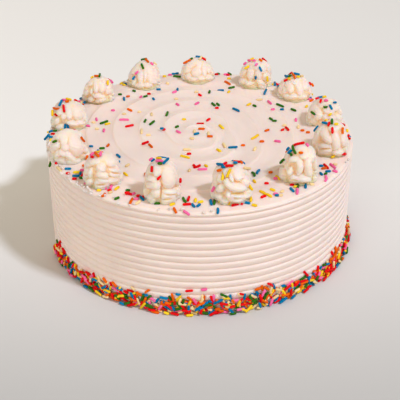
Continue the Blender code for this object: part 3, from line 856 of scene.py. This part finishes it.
def make_frosting(settings):
    """The frosted body as one closed skin: rows of points from the middle of the top over the rim,
    down the combed side and back to the middle of the base. The comb left it more uneven at the
    left."""
    draw = np.random.default_rng(SEED)
    angle = np.linspace(0, TURN, BODY_COLUMNS, endpoint=False)[None, :]
    radius, height, *values = frosting_top(settings, draw, angle)
    left = np.clip(0.5 - 1.2 * np.cos(angle - math.radians(95)), 0, 1)
    uneven = 0.00026 * round_waves(draw, 24, 8, angle) * (1 + 0.8 * left)
    uneven = uneven + 0.0003 * round_waves(draw, 90, 8, angle) * (0.4 + left)
    top = radius, height + uneven * ramp(radius, 0.110, 0.116), *values
    rim = frosting_rim(settings, draw, angle, uneven)
    side = frosting_side(settings, draw, angle, uneven)
    under = settings.radius - np.array([0.0020, 0.0035, 0.0400, 0.0900])[:, None] + 0 * angle
    lift = np.array([0.0008, 0.0, 0.0, 0.0])[:, None] + 0 * angle
    base = under, lift, 0 * under, 0 * under
    radius, height, crease, stain = (np.concatenate(rows) for rows in zip(top, rim, side, base))
    looks = {"grain": 1100.0, "pits": 62.0, "glow": 0.45, "reach": 0.006, "shine": 0.35}
    finish = cream_finish("frosting", settings, **looks)
    obj = skin_piece("frosted_cake", polar(radius, angle, height), finish, crease=crease, stain=stain)
    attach(obj, "root")
    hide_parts("cake")


def smooth_curve(table, spot):
    """The values of a table's columns at places along its rows, smoothly between the rows (a
    Catmull-Rom curve)."""
    table = np.array(table)
    padded = np.concatenate([[2 * table[0] - table[1]], table, [2 * table[-1] - table[-2]]])
    low = np.minimum(spot.astype(int), len(table) - 2)
    t = (spot - low)[..., None]
    a, b, c, d = (padded[low + i] for i in range(4))
    square, cube = 2 * a - 5 * b + 4 * c - d, 3 * b - a - 3 * c + d
    return 0.5 * (2 * b + (c - a) * t + square * t ** 2 + cube * t ** 3)


def petals(draw, turn, level, count, low, high, twist):
    """How far a ring of round lobes stands out at each point, 0 to about 1, the furthest of them.
    Each lobe has its own width and ends and wanders to either side as it goes down. It stands out
    by sqrt(1 - u^2 - v^2), with u its share across and v its share beyond where its ends round
    off. The gap between the last lobe and the first is the widest."""
    widths = draw.uniform(0.6, 1.5, count)
    widths *= TURN / widths.sum()
    furthest = 0.0 * turn * level
    for index, (width, end) in enumerate(zip(widths, np.cumsum(widths))):
        wander = 0.11 * np.sin(TURN * (draw.uniform(0.5, 1.2) * level + draw.uniform(0, 1)))
        middle = end - width / 2 + twist * (0.7 - level) + wander
        half = width * (0.53 if index in (0, count - 1) else draw.uniform(0.53, 0.62))
        ends = draw.uniform(0.35, 0.6) * min(0.36, high - low)
        foot = low + draw.uniform(-0.04, 0.05)
        top = high + draw.uniform(-0.02, 0.03)
        u = ((turn - middle + math.pi) % TURN - math.pi) / half
        v = np.clip((foot + ends - level) / ends, 0, None) + np.clip((level - top + ends) / ends, 0, None)
        stand = np.sqrt(np.clip(1 - u * u - v * v, 0, 1)) * draw.uniform(0.88, 1.06)
        furthest = np.maximum(furthest, stand)
    return furthest


def seen_lobes(rows, across, down):
    """How far the lobes read in the picture stand out at places in it, the furthest of them less
    the slits, and how much of a slit a place has. Each is a bent ellipse and stands out by
    sqrt(1 - u^2 - v^2), with u along it and v across it, or u^4 where it is long and wide."""
    furthest = BETWEEN_LOBES + 0.0 * across
    cut = 0.0 * across
    for middle, low, length, width, degrees, bend, stand in rows:
        turn = math.radians(degrees)
        u = ((across - middle) * math.cos(turn) + (low - down) * math.sin(turn)) / length
        v = (low - down) * math.cos(turn) - (across - middle) * math.sin(turn)
        v = (v - bend * length * u * u) / width
        power = 4 if length > LONG_LOBE * width and width > WIDE_LOBE else 2
        round_part = np.sqrt(np.clip(1 - np.abs(u) ** power - v * v, 0, 1))
        if stand > 0:
            furthest = np.maximum(furthest, stand * round_part)
        else:
            furthest = furthest + stand * round_part
            cut = np.maximum(cut, round_part)
    return np.clip(furthest, 0, None), cut


def piped_lobes(settings, draw, axis, level, neck):
    """How far the random lobes of a swirl stand out: a ring of them hangs from the peak down to the
    neck, and below the neck two rings of short ones are stacked as pleats."""
    lobes = settings.lobes - int(draw.integers(0, 2))
    twist = settings.twist * draw.uniform(0.6, 1.2)
    upper = petals(draw, axis, level - neck, lobes, 0.0, 1.4, twist)
    pleat = 0.36 + 0.16 * waves(draw, [(4,)] * 3, axis)
    share = level / neck
    lower = petals(draw, axis, share - pleat, lobes, -0.10, 0.74, 0.25)
    lowest = petals(draw, axis, share - pleat, lobes + 2, -0.80, 0.06, 0.25)
    return np.maximum(upper, np.maximum(0.95 * lower, lowest) * ramp(share, 1.2, 1.1))


def fold_slits(draw, axis, level, tier):
    """Three short slits low round a swirl, where the ribbon folded over itself: 1 in a slit."""
    slits = 0
    for _ in range(3):
        path = draw.uniform(0.10, 0.22) + 0.05 * np.sin(axis * 2 + draw.uniform(0, TURN))
        window = np.clip(np.sin(axis - draw.uniform(0, TURN)) * 2.2 - 0.9, 0, 1)
        slits = slits + window * hump(level, path * (0.6 + 0.6 * tier), 0.022)
    return np.clip(slits, 0, 1)


def swirl_grid(settings, studio, draw, number, top):
    """A piped swirl as rows of points from its peak to its foot, in its place on the cake, and how
    much painted shade each point has, as crease, between its lobes, in its slits and at its foot.
    The outline is sunk by the crease depth wherever no lobe stands out. On the side that the picture
    shows, the lobes read in it take the place of the random ones, which stay at its left and right,
    and are shallower on a low swirl. Small round lumps lie over all of it, and its foot is pressed
    into the top."""
    degrees, distance, radius, height, tier = SWIRLS[number - 1]
    axis = np.linspace(0, TURN, SWIRL_COLUMNS, endpoint=False)[None, :]
    spot = np.linspace(0, len(DOME_OUTLINE) - 1, SWIRL_ROWS)
    outline = (1 - tier) * smooth_curve(DOME_OUTLINE, spot) + tier * smooth_curve(TIER_OUTLINE, spot)
    ring, level = outline[:, :1], outline[:, 1:]
    sag = 0.05 * waves(draw, [(4, 1)] * 3, axis, level * 2) * ramp(level, 1, 2 / 3)
    z = height * (level + sag * ramp(level, 0.0, 0.3))
    lean = draw.uniform(0, TURN)
    shift = draw.uniform(0.0006, 0.0020) * level ** 2
    middle = polar(distance, math.radians(degrees), top)
    middle = middle + shift[..., None] * np.array([math.cos(lean), math.sin(lean), 0.0])
    neck = 0.08 + 0.29 * tier + 0.035 * waves(draw, [(3,)] * 3, axis)
    stand = 0.22 + 0.78 * piped_lobes(settings, draw, axis, level, neck)
    slits = fold_slits(draw, axis, level, tier)
    hang = 0.05 * stand * hump(level, neck + 0.05, 0.08)
    across, down = picture_place(studio, middle + polar(radius * ring, axis, z))
    shown = np.maximum(ramp(np.cos(axis), -0.35, 0.0), ramp(level, 0.8, 0.9))
    seen, cut = seen_lobes(SEEN_LOBES[number], across, down)
    seen = np.maximum(seen, 0.96 * stand * ramp(np.abs(np.sin(axis)), 0.75, 0.95))
    stand = stand + (seen - stand) * shown
    slits = slits * (1 - shown)
    depth = settings.depth * (1 - shown * (0.5 - 0.6 * tier))
    depth = depth * ramp(level, 1, 5 / 7) * ramp(level, -0.04, 0.06)
    lumps = np.abs(waves(draw, [(9, 8)] * 6, axis, level * 5))
    lumps = lumps + 0.5 * np.abs(waves(draw, [(15, 14)] * 6, axis, level * 5)) - 0.5
    lumps = settings.lumps * lumps * ramp(level, 1, 5 / 6) * ramp(ring, 0.0, 1 / 3)
    reach = radius * (ring * (1 - depth * (1 - stand)) * (1 - 0.10 * slits) + lumps)
    z = z - height * hang * (1 - shown)
    z = z - settings.sink * ramp(z, 0.002, 0.0)
    # Painted shade: the crease value darkens the cream between the lobes, at the foot, in the fold slits
    # and in the slits read in the picture
    crease = np.clip(1.05 - 1.4 * stand, 0, 1) * ramp(depth, 0.0, 0.2)
    crease = crease + 0.45 * ramp(level, 0.08, 0.0) + 0.6 * slits + 0.9 * cut * shown
    return middle + polar(reach, axis, z), np.clip(crease, 0, 1)


def make_swirls(settings, studio, top):
    """The thirteen piped swirls, each in the place of its own solid."""
    looks = {"grain": 800.0, "pits": 110.0, "glow": 1.0, "reach": 0.010, "shine": 0.22}
    finish = cream_finish("piped_cream", settings, **looks)
    for number in range(1, len(SWIRLS) + 1):
        draw = np.random.default_rng(SEED + number)
        grid, crease = swirl_grid(settings, studio, draw, number, top)
        obj = skin_piece(f"piped_swirl_{number:02d}", grid, finish, crease=crease)
        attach(obj, "root")
        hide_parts(f"swirl_{number:02d}")


def rods(places, alongs, normals, lengths, thickness, bends):
    """Many sprinkles as one skin: for each, five rings of eight points about a line that bends to
    one side as a parabola, with a point at either end, and rounded ends."""
    sides = 8
    radius = (np.zeros(len(places)) + thickness)[:, None] / 2
    half = lengths[:, None] / 2
    tip = half - 0.35 * radius
    shoulder = half - radius
    spots = np.concatenate([-half, -tip, -shoulder, 0 * half, shoulder, tip, half], 1)
    wide = np.array([0.74, 1.0, 1.0, 1.0, 0.74]) * radius
    side = np.cross(normals, alongs)
    bow = bends[:, None] * lengths[:, None] * (1 - (spots / half) ** 2)
    line = places[:, None] + alongs[:, None] * spots[..., None] + side[:, None] * bow[..., None]
    turn = np.linspace(0, TURN, sides, endpoint=False)[None, :, None]
    ring = side[:, None] * np.cos(turn) + normals[:, None] * np.sin(turn)
    body = line[:, 1:-1, None] + ring[:, None] * wide[:, :, None, None]
    count, rings = body.shape[:2]
    points = np.concatenate([line[:, :1], body.reshape(count, -1, 3), line[:, -1:]], 1)
    first = (np.arange(count) * points.shape[1])[:, None, None]
    quads, triangles = (faces[None] + first for faces in skin_faces(rings, sides))
    return points.reshape(-1, 3), quads.reshape(-1, 4), triangles.reshape(-1, 3)


def view_ways(studio):
    """The directions in which the camera has its back and its top."""
    level, rise = math.cos(studio.elevation), math.sin(studio.elevation)
    return (0.0, -level, rise), (0.0, rise, level)


def focal_pixels(studio):
    """The lens's focal length in the picture's pixels."""
    return PICTURE_WIDTH * studio.lens / SENSOR


def picture_ray(studio, across, down):
    """The camera's place, and its way through a place in the picture."""
    back, up = (Vector(way) for way in view_ways(studio))
    middle = PICTURE_WIDTH / 2
    way = Vector((across - middle, 0, 0)) - up * (down - middle) - back * focal_pixels(studio)
    return Vector((0, 0, studio.target)) + back * studio.distance, way.normalized()


def picture_place(studio, points):
    """Where points are seen in the picture: across and down."""
    back, up = (np.array(way) for way in view_ways(studio))
    way = points - np.array([0.0, 0.0, studio.target]) - back * studio.distance
    scale = -focal_pixels(studio) / (way @ back)
    return PICTURE_WIDTH / 2 + way[..., 0] * scale, PICTURE_WIDTH / 2 - (way @ up) * scale


class Scatter:
    """Collects sprinkles, each a place on the cake's surface, a heading, a length and a colour."""

    def __init__(self, settings, draw):
        self.settings = settings
        self.draw = draw
        self.rows = {colour: [] for colour in SPRINKLE_SHARES}
        graph = bpy.context.evaluated_depsgraph_get()
        body = [bpy.data.objects[name] for name in ("frosted_cake", "rim_crumbs")]
        swirls = [obj for obj in bpy.data.objects if obj.name.startswith("piped_swirl")]
        self.body = [BVHTree.FromObject(obj, graph) for obj in body]
        self.swirls = [BVHTree.FromObject(obj, graph) for obj in swirls]
        self.laid = []

    def hit(self, origin, direction, skins=None):
        """The nearest place that a ray meets, with its normal and distance, or None."""
        best = None
        for skin in skins or self.body + self.swirls:
            place, normal, _, distance = skin.ray_cast(origin, direction)
            if place is not None and (best is None or distance < best[2]):
                best = (place, normal, distance)
        return best

    def hidden(self, place, eye):
        """True if the cake itself stands between the eye and a place."""
        way = place - eye
        nearest = self.hit(eye, way.normalized())
        return nearest is not None and nearest[2] < way.length - NEARER

    def any_colour(self):
        names = list(SPRINKLE_SHARES)
        shares = np.array([SPRINKLE_SHARES[name] for name in names], float)
        return names[int(self.draw.choice(len(names), p=shares / shares.sum()))]

    def any_length(self):
        span = self.settings.longest - self.settings.shortest
        return self.settings.shortest + span * float(self.draw.beta(2.0, 2.2))

    def lay(self, place, normal, along, length=None, colour=None, lift=0.36, tip=0.0):
        """Puts a sprinkle on a place: its direction is brought into the surface's plane and tipped
        out of it a little, and it is lifted by a share of its thickness."""
        normal = Vector(normal).normalized()
        along = Vector(along)
        along = (along - normal * along.dot(normal)).normalized()
        along = (along + normal * tip).normalized()
        length = length or self.any_length()
        out = (normal - along * normal.dot(along)).normalized()
        place = Vector(place) + normal * (self.settings.thickness * lift + abs(tip) * length * 0.45)
        bend = float(self.draw.normal(0, 0.05)) if self.draw.random() < 0.45 else 0.0
        shade = float(self.draw.random())
        self.rows[colour or self.any_colour()].append((place, along, out, length, bend, shade))

    def heap(self, place, normal, along, **how):
        """Lays a sprinkle on top of those that already lie close to its place. Each lifts it by most
        of its thickness, for up to three."""
        near = sum(1 for other in self.laid if (other - place).length < CLOSE)
        self.laid.append(place.copy())
        self.lay(place, normal, along, lift=0.34 + 0.62 * min(near, 3), **how)

    def drop(self, origin, direction, eye=None):
        """Lets a sprinkle fall along a ray and come to rest with any heading. If an eye is given, it
        is laid only where the eye can't see it."""
        found = self.hit(origin, direction)
        if found and (eye is None or self.hidden(found[0], eye)):
            place, normal, _ = found
            heading = self.draw.uniform(0, math.pi)
            side = normal.orthogonal().normalized()
            along = side * math.cos(heading) + normal.cross(side) * math.sin(heading)
            self.heap(place, normal, along)

    def build(self):
        """One piece for each colour."""
        for colour, rows in self.rows.items():
            places, alongs, outs = (np.array([tuple(row[i]) for row in rows]) for i in range(3))
            lengths, bends, shades = (np.array([row[i] for row in rows]) for i in range(3, 6))
            points, quads, triangles = rods(places, alongs, outs, lengths, self.settings.thickness, bends)
            points[:, 2] = np.maximum(points[:, 2], 0.0)
            shade = np.repeat(shades, len(points) // len(rows))
            finish = sprinkle_finish(f"sugar_{colour}", getattr(self.settings, colour))
            obj = mesh_piece(f"sprinkles_{colour}", points, quads, triangles, finish, {"shade": shade})
            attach(obj, "root")


def unrolled(table):
    """The rows of a table, each with its colour in front."""
    return [(colour, *row) for colour, rows in table.items() for row in rows]


def scatter_seen(scatter, studio):
    """The sprinkles read in the picture, each laid where the camera's ray through its middle meets
    the cake, and pointing from the ray through one end to the ray through the other. A ray that
    just misses a swirl is lowered until it meets it. Where the two ends lie too far apart, one of
    them is on something behind, and places nearer the middle are tried."""
    up = Vector(view_ways(studio)[1])
    pixel = studio.distance / focal_pixels(studio)
    for table, skins in ((SEEN_ON_TOP, scatter.body), (SEEN_ON_SWIRLS, scatter.swirls)):
        for colour, across, down, degrees, length in unrolled(table):
            right, rise = math.cos(math.radians(degrees)), math.sin(math.radians(degrees))
            for lower in np.arange(0, 7, 0.5):
                found = scatter.hit(*picture_ray(studio, across, down + lower), skins)
                if found:
                    break
            if not found:
                continue
            along = Vector((right, 0, 0)) + up * rise
            size = length * pixel
            for reach in (0.5, 0.3, 0.15):
                steps = (-reach * length, reach * length)
                rays = [picture_ray(studio, across + s * right, down + lower - s * rise) for s in steps]
                ends = [scatter.hit(*ray, skins) for ray in rays]
                if all(ends) and (ends[1][0] - ends[0][0]).length < 0.017 * reach + 0.001:
                    along = ends[1][0] - ends[0][0]
                    size = along.length / (2 * reach)
                    break
            size = min(max(size, SHORTEST_SEEN), scatter.settings.longest)
            scatter.heap(found[0], found[1], along, length=size, colour=colour)


def scatter_band(scatter, frosting):
    """Sprinkles pressed on round the base, in two layers: one to a cell of a grid round the side,
    moved and turned at random, except on the bare stretch. The outer layer is thinner towards its
    upper edge. The lowest are turned level as far as they need to stay above the base."""
    draw = scatter.draw
    columns = 150
    lowest = 0.0012
    for layer, (rows, chance) in enumerate(((7, 0.98), (6, 0.50))):
        for column, row in product(range(columns), range(rows)):
            angle = TURN * (column + draw.uniform(-0.6, 0.6)) / columns
            top = float(band_top(frosting, angle)) * (1.0 - 0.12 * layer)
            share = (row + 0.5 + draw.uniform(-0.5, 0.5)) / rows
            height = lowest + (top - lowest) * share
            if draw.random() > chance * (1.0 - 0.35 * share ** 4):
                continue
            foot = 0.0010 * (1 - share) * (layer + 1)
            outward = Vector((math.sin(angle), -math.cos(angle), 0.0))
            level = Vector((math.cos(angle), math.sin(angle), 0.0))
            heading = draw.uniform(0, math.pi)
            length = scatter.any_length()
            room = max(0.05, (height - 0.0009) / (length / 2))
            rise = min(abs(math.sin(heading)), room, 1.0)
            level_part = math.copysign(math.sqrt(1 - rise ** 2), math.cos(heading))
            along = level * level_part + Vector((0, 0, rise))
            out = frosting.radius - 0.0008 + 0.00125 * layer + foot + draw.uniform(0, 0.0005)
            tip = float(draw.normal(0, 0.045))
            if not bare(angle, share):
                place = outward * out + Vector((0, 0, height))
                scatter.lay(place, outward, along, length=length, tip=tip)


def scatter_strays(scatter, frosting):
    """A few sprinkles just above the band."""
    draw = scatter.draw
    for _ in range(46):
        angle = draw.uniform(0, TURN)
        height = float(band_top(frosting, angle)) + abs(draw.normal(0, 0.0024))
        origin = Vector(polar(2 * frosting.radius, angle, height))
        if not bare(angle, 1):
            scatter.drop(origin, Vector((-math.sin(angle), math.cos(angle), 0.0)))


def scatter_hidden(scatter, top, eye):
    """Sprinkles between the swirls, on the swirls' backs and on the top behind them, where the
    picture doesn't show them, as many as there are on the side that it shows."""
    draw = scatter.draw
    down = Vector((0, 0, -1))
    for (angle, *_), (following, *_) in zip(SWIRLS, SWIRLS[1:] + SWIRLS[:1]):
        middle = math.radians(angle + ((following - angle) % 360) / 2)
        for _ in range(int(draw.integers(12, 18))):
            spot = polar(draw.uniform(0.100, 0.1175), middle + float(draw.normal(0, 0.055)), 2 * top)
            scatter.drop(Vector(spot), down, eye)
    for degrees, distance, radius, height, _ in SWIRLS:
        middle = Vector(polar(distance, math.radians(degrees), top))
        for index in range(int(draw.integers(11, 16))):
            reach = radius * (0.35 if index < 7 else 0.8) * math.sqrt(draw.uniform(0, 1))
            scatter.drop(middle + Vector(polar(reach, draw.uniform(0, TURN), 2 * height)), down, eye)
    for _ in range(90):
        spot = polar(0.090 * math.sqrt(draw.uniform(0, 1)), draw.uniform(0, TURN), 2 * top)
        scatter.drop(Vector(spot), down, eye)


def make_crumbs(frosting, count=130):
    """Small rough bits of frosting along the rim, most of them on the left, where the comb left a
    ragged lip."""
    draw = np.random.default_rng(SEED + 200)
    on_left = draw.random(count) < 0.85
    angle = np.where(on_left, draw.normal(math.radians(285), 0.55, count), draw.uniform(0, TURN, count))
    turn = draw.uniform(0.1, 1.45, count)
    radius = frosting.radius - frosting.rim * (1 - np.sin(turn))
    places = polar(radius, angle, frosting.height - frosting.rim * (1 - np.cos(turn)))
    alongs = np.stack([np.cos(angle), np.sin(angle), 0.4 * draw.normal(0, 1, count)], -1)
    alongs /= np.linalg.norm(alongs, axis=1, keepdims=True)
    outs = np.cross(alongs, draw.normal(0, 1, (count, 3)))
    outs /= np.linalg.norm(outs, axis=1, keepdims=True)
    thick = draw.uniform(0.0007, 0.0016, count)
    lengths = thick * draw.uniform(1.1, 2.6, count)
    points, quads, triangles = rods(places, alongs, outs, lengths, thick, draw.normal(0, 0.1, count))
    points = points + 0.00018 * draw.normal(0, 1, points.shape)
    obj = mesh_piece("rim_crumbs", points, quads, triangles, bpy.data.materials["frosting"])
    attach(obj, "root")


def make_sprinkles(settings, frosting, studio):
    """The seven colours of sprinkles."""
    scatter = Scatter(settings, np.random.default_rng(SEED + 100))
    scatter_band(scatter, frosting)
    scatter_strays(scatter, frosting)
    scatter_seen(scatter, studio)
    eye, _ = picture_ray(studio, 0, 0)
    scatter_hidden(scatter, frosting.height, eye)
    scatter.build()


def floor_finish(colour):
    """Plain matt floor, a little darker towards the front and the right and lighter towards the
    left: painted shade and light in place of the light's falloff.
    """
    finish = Finish("pale_floor", colour, 0.75)
    place = finish.node("ShaderNodeTexCoord").outputs["Object"]
    split = finish.node("ShaderNodeSeparateXYZ", {"Vector": place}).outputs
    back = finish.ranged(split["Y"], -0.24, 0.08)
    right = finish.ranged(split["X"], -0.35, 0.35)
    across = finish.mixed(right, tint(colour, 1.16), tint(colour, 0.96))
    # Painted light and shade: darker to the front and right, lighter to the left
    painted_falloff = finish.mixed(back, tint(colour, 0.61), across)
    finish.into({"Base Color": painted_falloff, "Specular IOR Level": 0.1})
    return finish.material


def place_facing(name, data, height, back, distance):
    """A light or camera that looks at the cake's axis at a height, from a distance, with its back
    turned the given way."""
    obj = bpy.data.objects.new(name, data)
    obj.location = Vector((0, 0, height)) + back * distance
    obj.rotation_euler = back.to_track_quat("Z", "Y").to_euler()
    bpy.context.scene.collection.objects.link(obj)
    return obj


def area_light(name, direction, distance, size, power, colour):
    """A square soft light that looks at the cake from a direction."""
    lamp = bpy.data.lights.new(name, "AREA")
    lamp.size = size
    lamp.energy = power
    lamp.color = colour
    place_facing(name, lamp, LIT_HEIGHT, Vector(direction).normalized(), distance)


def make_world(strength):
    """Soft light from all round, a little dimmer and warmer from above than from the sides."""
    world = bpy.data.worlds.new("soft_light")
    bpy.context.scene.world = world
    world.use_nodes = True
    sky = Nodes(world.node_tree)
    place = sky.node("ShaderNodeTexCoord").outputs["Generated"]
    height = sky.node("ShaderNodeSeparateXYZ", {"Vector": place}).outputs["Z"]
    blend = sky.node("ShaderNodeValToRGB", {"Fac": height})
    stops = ((0.1, (1.06, 1.0, 0.885, 1.0)), (0.7, (1.05, 0.96, 0.785, 1.0)))
    for element, (position, colour) in zip(blend.color_ramp.elements, stops):
        element.position = position
        element.color = colour
    background = sky.tree.nodes["Background"].inputs
    sky.fill(background["Color"], blend.outputs["Color"])
    sky.fill(background["Strength"], strength)


def make_stage(settings):
    """Floor, light all round, a key light from the right, a fill light and the camera."""
    bpy.ops.mesh.primitive_circle_add(vertices=96, radius=8.0, fill_type="NGON", location=(0, 0, 0))
    floor = bpy.context.object
    floor.name = "floor"
    floor.data.materials.append(floor_finish(settings.floor))
    make_world(settings.world)
    level, rise = math.cos(settings.key_height), math.sin(settings.key_height)
    key_way = (level * math.cos(settings.key_turn), -level * math.sin(settings.key_turn), rise)
    area_light("key", key_way, 4.0, settings.key_size, settings.key, (0.92, 1.0, 1.19))
    area_light("fill", (-0.45, -0.85, 0.28), 2.5, 1.2, settings.fill, (0.98, 1.0, 1.01))
    lens = bpy.data.cameras.new("camera")
    lens.sensor_width = SENSOR
    lens.lens = settings.lens
    lens.clip_end = 50.0
    back = Vector(view_ways(settings)[0])
    bpy.context.scene.camera = place_facing("camera", lens, settings.target, back, settings.distance)
    bpy.context.scene.view_settings.view_transform = "Standard"


class CAKE_OT_frosting(bpy.types.Operator):
    """Make the frosted body"""

    bl_idname = "cake.frosting"
    bl_label = "Frosted body"

    def execute(self, context):
        make_frosting(context.scene.cake_frosting)
        make_crumbs(context.scene.cake_frosting)
        return {"FINISHED"}


class CAKE_OT_swirls(bpy.types.Operator):
    """Make the ring of piped swirls"""

    bl_idname = "cake.swirls"
    bl_label = "Piped swirls"

    def execute(self, context):
        scene = context.scene
        make_swirls(scene.cake_swirls, scene.cake_studio, scene.cake_frosting.height)
        return {"FINISHED"}


class CAKE_OT_sprinkles(bpy.types.Operator):
    """Scatter the sprinkles"""

    bl_idname = "cake.sprinkles"
    bl_label = "Sprinkles"

    def execute(self, context):
        scene = context.scene
        make_sprinkles(scene.cake_sprinkles, scene.cake_frosting, scene.cake_studio)
        return {"FINISHED"}


class CAKE_OT_stage(bpy.types.Operator):
    """Set the floor, the lights and the camera"""

    bl_idname = "cake.stage"
    bl_label = "Stage"

    def execute(self, context):
        make_stage(context.scene.cake_studio)
        return {"FINISHED"}


class CAKE_PT_panel(bpy.types.Panel):
    """Buttons and settings of the cake"""

    bl_label = "Birthday Cake"
    bl_idname = "CAKE_PT_panel"
    bl_space_type = "VIEW_3D"
    bl_region_type = "UI"
    bl_category = "Cake"

    def draw(self, context):
        for group, operator in STEPS:
            box = self.layout.box()
            settings = getattr(context.scene, group)
            for name in type(settings).__annotations__:
                box.prop(settings, name)
            box.operator(operator)


STEPS = (
    ("cake_frosting", "cake.frosting"),
    ("cake_swirls", "cake.swirls"),
    ("cake_sprinkles", "cake.sprinkles"),
    ("cake_studio", "cake.stage"),
)
GROUPS = {
    "cake_frosting": FrostingSettings,
    "cake_swirls": SwirlSettings,
    "cake_sprinkles": SprinkleSettings,
    "cake_studio": StudioSettings,
}
OPERATORS = (CAKE_OT_frosting, CAKE_OT_swirls, CAKE_OT_sprinkles, CAKE_OT_stage, CAKE_PT_panel)


def register():
    for cls in (*GROUPS.values(), *OPERATORS):
        bpy.utils.register_class(cls)
    for name, group in GROUPS.items():
        setattr(bpy.types.Scene, name, PointerProperty(type=group))


def unregister():
    for name in GROUPS:
        delattr(bpy.types.Scene, name)
    for cls in reversed((*GROUPS.values(), *OPERATORS)):
        bpy.utils.unregister_class(cls)


def main():
    register()
    bpy.ops.cake.frosting()
    bpy.ops.cake.swirls()
    bpy.ops.cake.sprinkles()
    bpy.ops.cake.stage()


if __name__ == "__main__":
    main()
